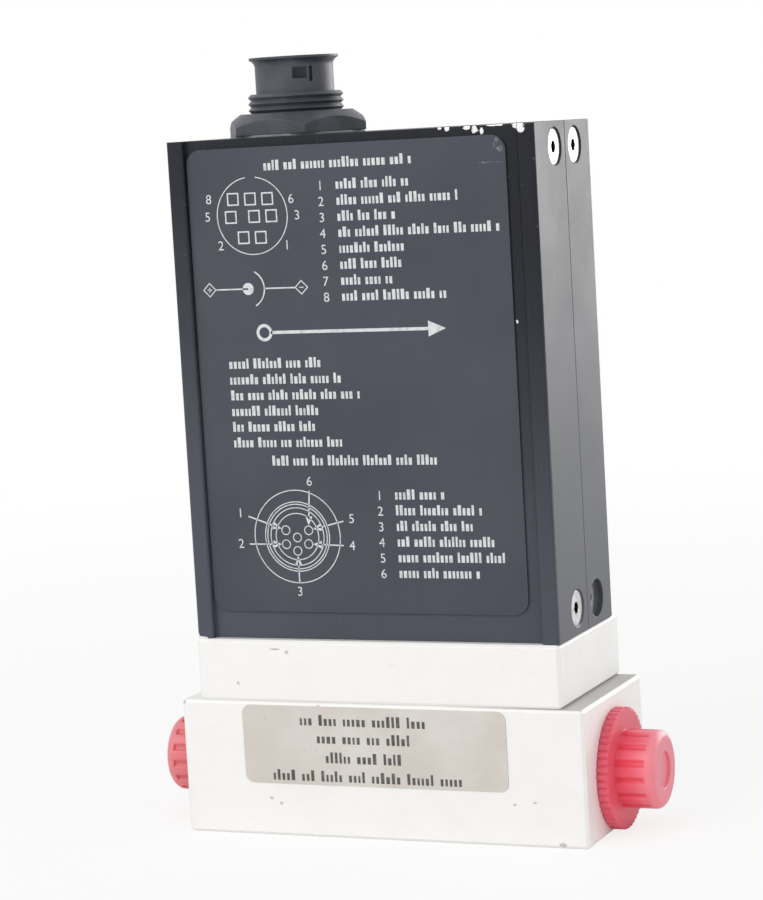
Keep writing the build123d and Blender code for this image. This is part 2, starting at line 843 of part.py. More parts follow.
# Hexagonal nut, whose top is turned down to a round face
nut_corner_r = nut_flats / 2 / math.cos(math.pi / hex_sides)
with BuildPart() as connector_nut:
    with BuildSketch(connector_base.offset(gasket_top)):
        RegularPolygon(nut_flats / 2, hex_sides, major_radius=False)
    extrude(amount=nut_height)
    with BuildSketch(connector_section):
        Polygon(
            (0, gasket_top),
            (nut_corner_r, gasket_top),
            (nut_corner_r, gasket_top + nut_corner_height),
            (nut_face_r, nut_top),
            (0, nut_top),
            align=None,
        )
    revolve(axis=connector_axis, mode=Mode.INTERSECT)
    with BuildSketch(connector_base.offset(gasket_top)):
        Circle(thread_r + thread_gap)
    extrude(amount=nut_height, mode=Mode.SUBTRACT)
connector_nut.part.label = "connector_nut"
export_step(connector_nut.part, "parts/connector_nut.step")

# Small board on the pins, and the header that joins it to the main board
with BuildPart() as link_board:
    with BuildSketch(connector_base.offset(link_board_z)):
        with Locations((0, board_y - slot_gap - connector_y)):
            Rectangle(link_board_length, link_board_depth, align=(Align.CENTER, Align.MAX))
        with Locations(*pin_places):
            Circle(pin_r + pin_hole_gap, mode=Mode.SUBTRACT)
    extrude(amount=link_board_thickness)
link_board.part.label = "link_board"
export_step(link_board.part, "parts/link_board.step")

with BuildPart() as link_header:
    with BuildSketch(connector_base.offset(link_board_z)):
        with Locations((header_shift, board_y - connector_y)):
            Rectangle(header_length, header_depth, align=(Align.CENTER, Align.MAX))
    extrude(amount=-header_height)
link_header.part.label = "link_header"
export_step(link_header.part, "parts/link_header.step")

# Port plugs: a taper shank, a serrated flange and a fluted knob with a rounded, dished end
port_plane = side_plane(end_x, 0, port_height)
flange_face = port_plane.offset(plug_flange)
knob_end = flange_face.offset(knob_length)
with BuildPart() as outlet_plug:
    with BuildSketch(port_plane):
        Circle(plug_flange_r)
        with PolarLocations(plug_flange_r, plug_teeth):
            Rectangle(plug_tooth, plug_tooth, rotation=45, mode=Mode.SUBTRACT)
    extrude(amount=plug_flange)
    with BuildSketch(flange_face):
        Circle(knob_r)
    extrude(amount=knob_length)
    fillet(outlet_plug.edges().group_by(Axis.X)[-1], radius=knob_rounding)
    with BuildSketch(flange_face):
        with PolarLocations(knob_r + flute_r - flute_depth, knob_flutes, start_angle=flute_turn):
            Circle(flute_r)
    extrude(amount=knob_length - flute_end, mode=Mode.SUBTRACT)
    with BuildSketch(knob_end):
        Circle(dish_r)
    extrude(amount=-dish_depth, mode=Mode.SUBTRACT)
    shank_x = end_x - plug_shank
    with BuildSketch(Plane.XZ):
        Polygon(
            (end_x, port_height),
            (end_x, port_height + port_radius(end_x) - plug_gap),
            (shank_x, port_height + port_radius(shank_x) - plug_gap),
            (shank_x, port_height + port_radius(shank_x) - plug_gap - plug_wall),
            (end_x - plug_core_end, port_height + port_radius(end_x) - plug_gap - plug_wall),
            (end_x - plug_core_end, port_height),
            align=None,
        )
    revolve(axis=Axis((0, 0, port_height), (1, 0, 0)))
outlet_plug.part.label = "outlet_plug"
export_step(outlet_plug.part, "parts/outlet_plug.step")

with BuildPart() as inlet_plug:
    add(mirror(outlet_plug.part, about=Plane.YZ))
inlet_plug.part.label = "inlet_plug"
export_step(inlet_plug.part, "parts/inlet_plug.step")
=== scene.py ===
import math
import random

import bmesh
import bpy
from mathutils import Euler, Matrix, Vector


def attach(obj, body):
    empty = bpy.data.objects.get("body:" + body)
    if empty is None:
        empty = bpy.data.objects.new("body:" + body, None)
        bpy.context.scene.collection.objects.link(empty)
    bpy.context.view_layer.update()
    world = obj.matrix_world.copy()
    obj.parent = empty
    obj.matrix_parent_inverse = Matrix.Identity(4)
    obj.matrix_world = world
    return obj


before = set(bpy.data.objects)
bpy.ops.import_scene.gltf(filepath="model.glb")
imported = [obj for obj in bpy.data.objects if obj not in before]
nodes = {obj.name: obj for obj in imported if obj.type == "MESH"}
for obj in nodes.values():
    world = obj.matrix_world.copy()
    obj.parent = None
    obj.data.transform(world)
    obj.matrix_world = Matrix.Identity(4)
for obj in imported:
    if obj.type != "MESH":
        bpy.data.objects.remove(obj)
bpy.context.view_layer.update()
scene = bpy.context.scene
perMetre = 1000.0  # millimetres in a metre; sizes below are in millimetres where nothing else is said
midNoise = 0.5
print("frame loaded:", len(nodes), "nodes")


# camera at the photograph's angle, worked out from the corners of the housing and the blocks
cameraSetup = {
    "place": (0.1612591, -0.3804039, 0.1014659),  # metres
    "turn": (83.416715, 3.268221, 22.908425),  # degrees
    "lens": 116.6953,
    "sensor": 36.0,
    "clip": (0.01, 20.0),  # metres
}


def makeCamera(setup):
    data = bpy.data.cameras.new("camera")
    data.lens = setup["lens"]
    data.sensor_width = setup["sensor"]
    data.clip_start, data.clip_end = setup["clip"]
    camera = bpy.data.objects.new("camera", data)
    camera.location = setup["place"]
    camera.rotation_euler = Euler([math.radians(angle) for angle in setup["turn"]], "XYZ")
    scene.collection.objects.link(camera)
    scene.camera = camera


makeCamera(cameraSetup)
print("camera ready")


class Signal:
    # an output socket that can be used in plain Python maths

    def __init__(self, finish, socket):
        self.finish = finish
        self.socket = socket

    def maths(self, operation, *values):
        return self.finish.node("Math", {"operation": operation}, values)

    def __add__(self, other):
        return self.maths("ADD", self, other)

    def __radd__(self, other):
        return self.maths("ADD", other, self)

    def __sub__(self, other):
        return self.maths("SUBTRACT", self, other)

    def __rsub__(self, other):
        return self.maths("SUBTRACT", other, self)

    def __mul__(self, other):
        return self.maths("MULTIPLY", self, other)

    def __rmul__(self, other):
        return self.maths("MULTIPLY", other, self)

    def __truediv__(self, other):
        return self.maths("DIVIDE", self, other)

    def lowest(self, other):
        return self.maths("MINIMUM", self, other)

    def highest(self, other):
        return self.maths("MAXIMUM", self, other)

    def size(self):
        return self.maths("ABSOLUTE", self)

    def root(self):
        return self.maths("SQRT", self)


class Finish:
    # one procedural material; its places are in millimetres of the part's own frame

    def __init__(self, name, tree=None):
        if tree is None:
            self.material = bpy.data.materials.new(name)
            self.material.use_nodes = True
            tree = self.material.node_tree
        self.tree = tree
        self.tree.nodes.clear()

    def node(self, kind, settings=None, inputs=(), pick=None):
        made = self.tree.nodes.new("ShaderNode" + kind)
        for name, value in (settings or {}).items():
            setattr(made, name, value)
        live = [socket for socket in made.inputs if socket.enabled]
        if isinstance(inputs, dict):
            byName = {socket.name: socket for socket in reversed(live)}
            pairs = [(byName[name], value) for name, value in inputs.items()]
        else:
            pairs = list(zip(live, inputs))
        for socket, value in pairs:
            if isinstance(value, Signal):
                self.tree.links.new(value.socket, socket)
            elif socket.type == "RGBA":
                socket.default_value = (*value, 1.0)
            else:
                socket.default_value = value
        outputs = [socket for socket in made.outputs if socket.enabled]
        first = outputs[0] if outputs else None
        return Signal(self, next((socket for socket in outputs if socket.name == pick), first))

    def places(self):
        local = self.node("TexCoord", pick="Object")
        return self.node("VectorMath", {"operation": "SCALE"}, {"Vector": local, "Scale": perMetre})

    def axes(self, places):
        return [self.node("SeparateXYZ", None, [places], pick=axis) for axis in "XYZ"]

    def noise(self, places, scale, detail, rough):
        return self.node("TexNoise", None, {
            "Vector": places, "Scale": scale, "Detail": detail, "Roughness": rough,
        }, pick="Fac")

    def stretch(self, places, amounts):
        return self.node("VectorMath", {"operation": "MULTIPLY"}, [places, amounts])

    def fade(self, value, start, end):
        return self.node("MapRange", {"clamp": True, "interpolation_type": "SMOOTHSTEP"}, {
            "Value": value, "From Min": start, "From Max": end, "To Min": 0.0, "To Max": 1.0,
        })

    def marks(self, x, z, spots, inner, outer):
        # the strongest of several soft ellipses: x, z, half width, half height and, for some, a lean
        strongest = None
        for spotX, spotZ, halfWidth, halfHeight, *lean in spots:
            offset = x - spotX
            if lean:
                offset = offset - (z - spotZ) * lean[0]
            across = offset / halfWidth
            along = (z - spotZ) / halfHeight
            mark = 1.0 - self.fade(across * across + along * along, inner, outer)
            strongest = mark if strongest is None else strongest.highest(mark)
        return strongest

    def blend(self, mask, first, second):
        return self.node("Mix", {"data_type": "RGBA"}, {"Factor": mask, "A": first, "B": second})

    def lean(self, mask, first, second):
        return first + mask * (second - first)

    def bump(self, height, depth, bevel=0.0):
        inputs = {"Height": height, "Strength": 1.0, "Distance": depth / perMetre}
        if bevel:
            inputs["Normal"] = self.node("Bevel", {"samples": 6}, {"Radius": bevel / perMetre})
        return self.node("Bump", None, inputs)

    def surface(self, **inputs):
        named = {
            "colour": "Base Color", "rough": "Roughness", "metal": "Metallic", "normal": "Normal",
            "ior": "IOR", "through": "Transmission Weight", "glow": "Subsurface Weight",
            "glowScale": "Subsurface Scale", "glowRadius": "Subsurface Radius",
        }
        shader = self.node("BsdfPrincipled", None, {named[key]: value for key, value in inputs.items()})
        self.finishWith(shader)

    def finishWith(self, shader):
        self.node("OutputMaterial", None, {"Surface": shader})


def dress(finish, names):
    for name in names:
        slots = nodes[name].data.materials
        slots.clear()
        slots.append(finish.material)


# In the looks below a noise is scale, detail and roughness, a range is where a mark starts and where
# it is full, and a share is how strong it gets. The bump's depth and the bevel's radius are in mm.


# housing: black anodised aluminium, with patchy haze from handling and painted light that makes it paler
# lower down, paler towards the left, dust, a painted sheen low on the two side faces and chips of bare metal
# along a few edges
housingLook = {
    "black": (0.0075, 0.0085, 0.0140),
    "paintedLightAndHaze": (0.076, 0.083, 0.105),
    "bare": (0.86, 0.86, 0.85),
    "dust": (0.16, 0.165, 0.18),
    "sheen": (0.155, 0.160, 0.170),  # painted sheen, paler low on the two side faces
    "cloud": (0.05, 4.0, 0.6),
    "grain": (2.2, 4.0, 0.6),
    "fine": (9.0, 2.0, 0.5),
    "specks": (1.7, 1.0, 0.4),
    "speckRange": (0.71, 0.77),
    "rubs": (1.0, 2.0, 0.5),
    "rubStretch": (4.0, 4.0, 0.14),
    "rubRange": (0.66, 0.80),
    "paintedLightLevels": (101.0, 24.0),  # painted light: the housing is painted paler from this level down to the next
    "paleLeft": (-8.0, -27.0),
    "paintedLightAndHazeTones": (0.0, 1.05),
    "paintedLightAndHazeShares": {"down": 0.85, "left": 0.22, "cloud": 0.35, "fine": 0.10},
    "dustShares": {"specks": 0.30, "rubs": 0.16},
    "sideFaces": (27.35, 27.45),
    "sheenLevels": (96.0, 34.0),
    "sheenShare": 0.55,
    "chips": [  # x and z, half width, half height
        (13.6, 99.0, 0.30, 0.22), (14.7, 98.9, 0.34, 0.40), (17.6, 98.9, 0.55, 0.32),
        (18.7, 98.6, 0.50, 0.55), (19.7, 98.4, 0.28, 0.50), (21.6, 99.05, 1.20, 0.16),
        (25.2, 98.9, 1.05, 0.55), (25.7, 98.3, 0.55, 0.45), (-26.8, 28.35, 0.95, 0.28),
        (-27.4, 28.6, 0.25, 0.45), (23.4, 72.45, 0.16, 0.30),
    ],
    "chipEdge": (0.2, 1.5),
    "chipDepth": (-10.7, -11.0),  # chips stay in front of this y
    "chipShares": {"grain": 2.4, "fine": 1.2, "height": 1.5, "metal": 0.8},
    "chipRange": (0.42, 0.54),
    "chipLimit": (0.02, 0.12),
    "roughClouds": (0.3, 0.8),
    "rough": (0.34, 0.44),
    "roughFine": 0.06,
    "heightShare": 0.5,
    "depth": 0.015,
    "bevel": 0.16,
    "ior": 1.36,
}


def makeHousing(look):
    finish = Finish("anodisedBlack")
    places = finish.places()
    x, y, z = finish.axes(places)
    cloud = finish.noise(places, *look["cloud"])
    grain = finish.noise(places, *look["grain"])
    fine = finish.noise(places, *look["fine"])
    specks = finish.fade(finish.noise(places, *look["specks"]), *look["speckRange"])
    streaks = finish.noise(finish.stretch(places, look["rubStretch"]), *look["rubs"])
    rubs = finish.fade(streaks, *look["rubRange"])

    # painted light: the housing is painted paler lower down; it is also paler towards the left, and the two
    # noises add patchy haze
    share = look["paintedLightAndHazeShares"]
    down = finish.fade(z, *look["paintedLightLevels"])
    paintedLightAndHaze = down * share["down"] + finish.fade(x, *look["paleLeft"]) * share["left"]
    paintedLightAndHaze = paintedLightAndHaze + (cloud - midNoise) * share["cloud"] + (fine - midNoise) * share["fine"]
    colour = finish.blend(finish.fade(paintedLightAndHaze, *look["paintedLightAndHazeTones"]), look["black"], look["paintedLightAndHaze"])
    share = look["dustShares"]
    colour = finish.blend(specks * share["specks"] + rubs * share["rubs"], colour, look["dust"])
    # painted sheen: the two side faces are painted paler lower down
    side = finish.fade(x.size(), *look["sideFaces"]) * finish.fade(z, *look["sheenLevels"])
    colour = finish.blend(side * look["sheenShare"], colour, look["sheen"])

    share = look["chipShares"]
    chips = finish.marks(x, z, look["chips"], *look["chipEdge"]) * finish.fade(y, *look["chipDepth"])
    torn = chips + (grain - midNoise) * share["grain"] + (fine - midNoise) * share["fine"]
    chips = finish.fade(torn, *look["chipRange"]) * finish.fade(chips, *look["chipLimit"])
    colour = finish.blend(chips, colour, look["bare"])

    rough = finish.lean(finish.fade(cloud, *look["roughClouds"]), *look["rough"]) + fine * look["roughFine"]
    height = grain * look["heightShare"] + fine * look["heightShare"] - chips * share["height"]
    normal = finish.bump(height, look["depth"], look["bevel"])
    finish.surface(colour=colour, rough=rough, metal=chips * share["metal"], normal=normal, ior=look["ior"])
    return finish


dress(makeHousing(housingLook), ["rear_cover", "front_cover", "top_plate"])
print("housing dressed")


# label: matt printed film in the recess
labelLook = {
    "film": (0.062, 0.067, 0.086),
    "pale": (0.077, 0.082, 0.102),
    "scuff": (0.26, 0.265, 0.29),
    "cloud": (0.05, 3.0, 0.5),
    "cloudRange": (0.3, 0.75),
    "grain": (5.0, 3.0, 0.6),
    "scratches": [  # x, z, half width, half height, lean
        (21.9, 97.2, 0.30, 1.3, 0.45), (22.2, 95.9, 0.55, 0.45, 0.0), (20.6, 94.1, 2.2, 0.12, 0.0),
    ],
    "scratchEdge": (0.1, 1.4),
    "tear": (2.6, 3.0, 0.6),
    "tearRange": (0.40, 0.60),
    "faint": (0.9, 3.0, 0.5),
    "faintStretch": (0.5, 1.0, 3.0),
    "faintRange": (0.62, 0.80),
    "scuffShares": {"worn": 0.8, "faint": 0.05, "height": 0.5},
    "rough": 0.48,
    "roughGrain": 0.1,
    "depth": 0.008,
    "bevel": 0.10,
    "ior": 1.33,
}


def makeLabel(look):
    finish = Finish("labelFilm")
    places = finish.places()
    x, _, z = finish.axes(places)
    cloud = finish.noise(places, *look["cloud"])
    grain = finish.noise(places, *look["grain"])
    share = look["scuffShares"]
    worn = finish.marks(x, z, look["scratches"], *look["scratchEdge"])
    worn = worn * finish.fade(finish.noise(places, *look["tear"]), *look["tearRange"])
    streaks = finish.noise(finish.stretch(places, look["faintStretch"]), *look["faint"])
    faint = finish.fade(streaks, *look["faintRange"])
    colour = finish.blend(finish.fade(cloud, *look["cloudRange"]), look["film"], look["pale"])
    colour = finish.blend(worn * share["worn"] + faint * share["faint"], colour, look["scuff"])
    normal = finish.bump(grain - worn * share["height"], look["depth"], look["bevel"])
    rough = look["rough"] + grain * look["roughGrain"]
    finish.surface(colour=colour, rough=rough, normal=normal, ior=look["ior"])
    return finish


dress(makeLabel(labelLook), ["rear_label"])


# faceplate of the display side: the same film, with paler keys
faceLook = {
    "film": (0.045, 0.048, 0.058),
    "key": (0.30, 0.31, 0.33),
    "keyRow": 59.0,
    "keyHeights": (3.4, 3.0),  # distance from the row, from outside to inside
    "keyRise": (9.92, 9.97),  # y just behind the tops of the keys
    "grain": (5.0, 3.0, 0.6),
    "rough": 0.42,
    "roughGrain": 0.12,
    "depth": 0.008,
    "bevel": 0.15,
}


def makeFace(look):
    finish = Finish("faceFilm")
    places = finish.places()
    grain = finish.noise(places, *look["grain"])
    _, y, z = finish.axes(places)
    row = finish.fade((z - look["keyRow"]).size(), *look["keyHeights"])
    raised = finish.fade(y, *look["keyRise"])
    colour = finish.blend(row * raised, look["film"], look["key"])
    rough = look["rough"] + grain * look["roughGrain"]
    finish.surface(colour=colour, rough=rough, normal=finish.bump(grain, look["depth"], look["bevel"]))
    return finish


dress(makeFace(faceLook), ["faceplate"])


# bare blocks: milled and tumbled aluminium, nearly white, with small dents and stains, and a painted shade
# line where the two blocks meet
blockLook = {
    "metal": (0.965, 0.955, 0.935),
    "shade": (0.915, 0.900, 0.875),
    "stain": (0.50, 0.47, 0.42),
    "paintedSeamShade": (0.26, 0.245, 0.225),
    "cloud": (0.12, 5.0, 0.62),
    "cloudRange": (0.35, 0.75),
    "patch": (0.55, 4.0, 0.6),
    "patchRange": (0.5, 0.8),
    "shadeShares": {"cloud": 0.6, "patch": 0.4},
    "streak": (1.0, 3.0, 0.6),
    "streakStretch": (0.25, 4.0, 4.0),
    "fine": (6.0, 3.0, 0.6),
    "spots": (0.85, 2.0, 0.45),
    "spotRange": (0.72, 0.80),
    "spotShare": 0.22,
    "seam": 19.4,  # level where the two blocks meet
    "seamWidth": (0.22, 0.02),
    "seamRight": (8.0, 29.0),  # the painted shade line darkens along the flow
    "seamShares": (0.12, 0.62),
    "dents": [  # x and z, half width, half height
        (-17.1, 5.4, 0.34, 0.22), (-15.6, 4.7, 0.30, 0.26), (19.95, 5.9, 0.26, 0.2),
        (22.9, 6.3, 0.3, 0.18), (26.7, 0.5, 0.6, 0.35), (-15.2, 27.0, 0.9, 0.16),
        (-21.3, 22.0, 0.25, 0.25), (-13.4, 26.6, 0.3, 0.3), (-30.2, 19.0, 0.35, 0.3),
        (-9.0, 18.9, 0.3, 0.25),
    ],
    "dentEdge": (0.1, 1.6),
    "dentRange": (0.30, 0.75),
    "dentDepth": (-12.2, -12.5),  # dents stay on the front face
    "dentShares": {"fine": 0.9, "colour": 0.75, "height": 2.0},
    "rough": 0.42,
    "roughShares": {"cloud": 0.12, "streak": 0.06},
    "heightShare": 0.5,
    "metallic": 0.2,
    "depth": 0.012,
    "bevel": 0.18,
}


def makeBlock(look):
    finish = Finish("bareAluminium")
    places = finish.places()
    x, y, z = finish.axes(places)
    cloud = finish.noise(places, *look["cloud"])
    patch = finish.noise(places, *look["patch"])
    streak = finish.noise(finish.stretch(places, look["streakStretch"]), *look["streak"])
    fine = finish.noise(places, *look["fine"])
    spots = finish.fade(finish.noise(places, *look["spots"]), *look["spotRange"])

    share = look["shadeShares"]
    shaded = finish.fade(cloud, *look["cloudRange"]) * share["cloud"]
    shaded = shaded + finish.fade(patch, *look["patchRange"]) * share["patch"]
    colour = finish.blend(shaded, look["metal"], look["shade"])
    colour = finish.blend(spots * look["spotShare"], colour, look["stain"])
    # painted shade: a dark line in the seam between the two blocks, stronger towards the right
    seam = finish.fade((z - look["seam"]).size(), *look["seamWidth"])
    seam = seam * finish.lean(finish.fade(x, *look["seamRight"]), *look["seamShares"])
    colour = finish.blend(seam, colour, look["paintedSeamShade"])

    share = look["dentShares"]
    dents = finish.marks(x, z, look["dents"], *look["dentEdge"]) + (fine - midNoise) * share["fine"]
    dents = finish.fade(dents, *look["dentRange"]) * finish.fade(y, *look["dentDepth"])
    colour = finish.blend(dents * share["colour"], colour, look["stain"])

    rough = look["rough"] + cloud * look["roughShares"]["cloud"] + streak * look["roughShares"]["streak"]
    height = fine * look["heightShare"] + streak * look["heightShare"] + patch
    height = height - dents * share["height"] - spots
    normal = finish.bump(height, look["depth"], look["bevel"])
    finish.surface(colour=colour, rough=rough, metal=look["metallic"], normal=normal)
    return finish


dress(makeBlock(blockLook), ["flow_body", "sensor_block", "laminar_element"])
print("blocks dressed")


# rating plate: satin foil, a little beige
foilLook = {
    "foil": (0.74, 0.71, 0.665),
    "warm": (0.66, 0.615, 0.56),
    "speck": (0.45, 0.43, 0.40),
    "cloud": (0.09, 4.0, 0.6),
    "cloudRange": (0.35, 0.7),
    "grain": (3.2, 4.0, 0.65),
    "warmLeft": (-2.0, -22.0),
    "warmShare": 0.5,
    "specks": (1.6, 2.0, 0.5),
    "speckRange": (0.68, 0.76),
    "speckShare": 0.3,
    "rough": 0.36,
    "roughGrain": 0.2,
    "cloudHeight": 2.0,
    "metallic": 0.25,
    "depth": 0.012,
    "bevel": 0.08,
}


def makeFoil(look):
    finish = Finish("ratingFoil")
    places = finish.places()
    cloud = finish.noise(places, *look["cloud"])
    grain = finish.noise(places, *look["grain"])
    x = finish.axes(places)[0]
    colour = finish.blend(finish.fade(cloud, *look["cloudRange"]), look["foil"], look["warm"])
    colour = finish.blend(finish.fade(x, *look["warmLeft"]) * look["warmShare"], colour, look["warm"])
    specks = finish.fade(finish.noise(places, *look["specks"]), *look["speckRange"])
    colour = finish.blend(specks * look["speckShare"], colour, look["speck"])
    normal = finish.bump(grain + cloud * look["cloudHeight"], look["depth"], look["bevel"])
    rough = look["rough"] + grain * look["roughGrain"]
    finish.surface(colour=colour, rough=rough, metal=look["metallic"], normal=normal)
    return finish


dress(makeFoil(foilLook), ["rating_plate"])


# screws: bright heads, with painted shade inside the hexagon sockets
screwLook = {
    "steel": (0.66, 0.66, 0.65),
    "dull": (0.46, 0.46, 0.45),
    # painted shade for the inside of the sockets
    "socket": (0.035, 0.036, 0.038),
    "cloud": (0.9, 3.0, 0.6),
    "cloudRange": (0.35, 0.75),
    "turned": (7.0, 2.0, 0.5),
    "rows": (32.0, 95.65),  # levels of the screws
    "side": 4.1,  # distance of the screws from the middle plane
    "socketEdge": (0.98, 0.86),
    "faceEdge": (27.18, 27.12),
    "deepFaceEdge": (26.38, 26.32),
    "displayHalf": (0.5, 1.0),
    "lowHalf": (60.0, 50.0),
    "rough": 0.30,
    "roughTurned": 0.18,
    "depth": 0.01,
    "bevel": 0.08,
}


def makeScrew(look):
    finish = Finish("screwSteel")
    places = finish.places()
    x, y, z = finish.axes(places)
    out = y.size() - look["side"]
    low, high = look["rows"]
    nearest = (z - low).size().lowest((z - high).size())
    away = (out * out + nearest * nearest).root()
    sunk = finish.fade(x.size(), *look["faceEdge"])
    deep = finish.fade(x.size(), *look["deepFaceEdge"])
    lowDisplay = finish.fade(y, *look["displayHalf"]) * finish.fade(z, *look["lowHalf"])
    # painted shade: the inside of each hexagon socket is painted dark
    socket = finish.fade(away, *look["socketEdge"]) * finish.lean(lowDisplay, sunk, deep)
    cloud = finish.noise(places, *look["cloud"])
    turned = finish.noise(places, *look["turned"])
    colour = finish.blend(finish.fade(cloud, *look["cloudRange"]), look["steel"], look["dull"])
    colour = finish.blend(socket, colour, look["socket"])
    rough = look["rough"] + turned * look["roughTurned"]
    normal = finish.bump(turned, look["depth"], look["bevel"])
    finish.surface(colour=colour, rough=rough, metal=1.0, normal=normal)
    return finish


dress(makeScrew(screwLook), ["side_screws", "block_screws"])


# ring and pins
metalLook = {
    "cloud": (0.6, 3.0, 0.6), "cloudRange": (0.35, 0.75), "grain": (7.0, 2.0, 0.5),
    "roughGrain": 0.14, "depth": 0.008, "bevel": 0.06,
}
metalPieces = {
    "ringSteel": {"tone": (0.62, 0.62, 0.62), "dark": (0.46, 0.46, 0.46), "rough": 0.26,
                  "nodes": ["snap_ring"]},
    "pinGold": {"tone": (0.85, 0.66, 0.34), "dark": (0.70, 0.52, 0.26), "rough": 0.22,
                "nodes": ["contact_pins", "temperature_probe"]},
}

# moulded and rubber pieces
plasticLook = {
    "cloud": (0.22, 3.0, 0.55), "cloudRange": (0.35, 0.75), "grain": (4.0, 3.0, 0.6),
    "roughGrain": 0.12, "depth": 0.015, "bevel": 0.18,
}
plasticPieces = {
    "connectorBlack": {"tone": (0.036, 0.041, 0.054), "dark": (0.070, 0.077, 0.095), "rough": 0.36,
                       "nodes": ["connector_shell", "connector_nut"]},
    "insertBlack": {"tone": (0.026, 0.026, 0.028), "dark": (0.040, 0.040, 0.042), "rough": 0.48,
                    "nodes": ["connector_insert", "link_header"]},
    "sealRubber": {"tone": (0.030, 0.030, 0.032), "dark": (0.055, 0.055, 0.056), "rough": 0.62,
                   "nodes": ["tap_seals", "element_seal"]},
    "gasketGrey": {"tone": (0.34, 0.35, 0.37), "dark": (0.20, 0.21, 0.23), "rough": 0.50,
                   "nodes": ["connector_gasket"]},
    "sensorPlastic": {"tone": (0.42, 0.41, 0.38), "dark": (0.34, 0.33, 0.30), "rough": 0.45,
                      "nodes": ["differential_sensor", "absolute_sensor"]},
    "chipBlack": {"tone": (0.022, 0.022, 0.024), "dark": (0.045, 0.045, 0.047), "rough": 0.40,
                  "nodes": ["processor", "board_parts"]},
    "stripRubber": {"tone": (0.28, 0.20, 0.22), "dark": (0.22, 0.15, 0.17), "rough": 0.55,
                    "nodes": ["lcd_strips"]},
}


def makePlain(name, piece, look, **more):
    finish = Finish(name)
    places = finish.places()
    cloud = finish.noise(places, *look["cloud"])
    grain = finish.noise(places, *look["grain"])
    colour = finish.blend(finish.fade(cloud, *look["cloudRange"]), piece["tone"], piece["dark"])
    rough = piece["rough"] + grain * look["roughGrain"]
    normal = finish.bump(grain, look["depth"], look["bevel"])
    finish.surface(colour=colour, rough=rough, normal=normal, **more)
    return finish


for name, piece in metalPieces.items():
    dress(makePlain(name, piece, metalLook, metal=1.0), piece["nodes"])
for name, piece in plasticPieces.items():
    dress(makePlain(name, piece, plasticLook), piece["nodes"])


# circuit boards: green solder mask with faint copper runs
boardLook = {
    "mask": (0.010, 0.085, 0.035),
    "run": (0.020, 0.140, 0.060),
    "runStretch": (0.55, 0.55, 0.55),
    "runOffset": 0.35,
    "runGap": 0.12,
    "grain": (3.0, 2.0, 0.5),
    "rough": 0.28,
    "roughGrain": 0.1,
    "grainHeight": 0.2,
    "depth": 0.02,
}


def makeBoard(look):
    finish = Finish("boardGreen")
    places = finish.places()
    runs = finish.node("TexBrick", {"offset": look["runOffset"]}, {
        "Vector": finish.stretch(places, look["runStretch"]), "Color1": (1.0, 1.0, 1.0),
        "Color2": (0.7, 0.7, 0.7), "Mortar": (0.0, 0.0, 0.0), "Scale": 1.0, "Mortar Size": look["runGap"],
    }, pick="Fac")
    grain = finish.noise(places, *look["grain"])
    colour = finish.blend(runs, look["mask"], look["run"])
    normal = finish.bump(runs + grain * look["grainHeight"], look["depth"])
    finish.surface(colour=colour, rough=look["rough"] + grain * look["roughGrain"], normal=normal)
    return finish


dress(makeBoard(boardLook), ["main_board", "link_board"])


# display: grey-green glass under a clear window
displayLook = {
    "glass": (0.36, 0.40, 0.30),
    "shade": (0.10, 0.12, 0.09),
    "cloud": (0.08, 2.0, 0.5),
    "cloudRange": (0.3, 0.8),
    "shadeShare": 0.5,
    "grain": (8.0, 2.0, 0.5),
    "rough": 0.16,
    "roughGrain": 0.05,
    "depth": 0.002,
    "bevel": 0.1,
}
windowLook = {
    "clear": (0.96, 0.97, 0.96),
    "smear": (0.14, 4.0, 0.6),
    "smearRange": (0.45, 0.85),
    "rough": 0.03,
    "roughSmear": 0.10,
    "depth": 0.01,
    "ior": 1.49,
}


def makeDisplay(look):
    finish = Finish("displayGlass")
    places = finish.places()
    cloud = finish.noise(places, *look["cloud"])
    grain = finish.noise(places, *look["grain"])
    shaded = finish.fade(cloud, *look["cloudRange"]) * look["shadeShare"]
    colour = finish.blend(shaded, look["glass"], look["shade"])
    rough = look["rough"] + grain * look["roughGrain"]
    finish.surface(colour=colour, rough=rough, normal=finish.bump(grain, look["depth"], look["bevel"]))
    return finish


def makeWindow(look):
    finish = Finish("clearWindow")
    smear = finish.noise(finish.places(), *look["smear"])
    rough = look["rough"] + finish.fade(smear, *look["smearRange"]) * look["roughSmear"]
    finish.surface(colour=look["clear"], rough=rough, normal=finish.bump(smear, look["depth"]),
                   through=1.0, ior=look["ior"])
    return finish


dress(makeDisplay(displayLook), ["lcd_module"])
dress(makeWindow(windowLook), ["display_window"])


# port plugs: soft translucent red plastic, the one at the inlet more faded, with painted shade in the flutes
# of the knobs
plugLook = {
    "red": (0.98, 0.105, 0.170),
    "pale": (1.0, 0.32, 0.38),
    # painted shade for the bottoms of the flutes
    "deep": (0.90, 0.045, 0.095),
    "muted": (0.70, 0.26, 0.26),
    "cloud": (0.35, 3.0, 0.55),
    "grain": (3.0, 3.0, 0.6),
    "knobEnd": (34.0, 37.4),
    "paleShares": {"end": 0.7, "cloud": 0.25},
    "axis": 8.6,
    "flute": (5.47, 5.10),  # distance from the axis, from the crests to the bottom of the flutes
    "fluteStart": (32.0, 32.4),
    "fluteEnd": (36.4, 36.1),
    "fluteShare": 0.5,
    "fade": (-20.0, -30.0),
    "fadeShare": 0.65,
    "rough": 0.30,
    "roughGrain": 0.10,
    "depth": 0.03,
    "bevel": 0.35,
    "glow": 0.7,
    "glowScale": 0.001,  # metres
    "glowRadius": (3.0, 0.9, 1.1),
    "ior": 1.5,
}


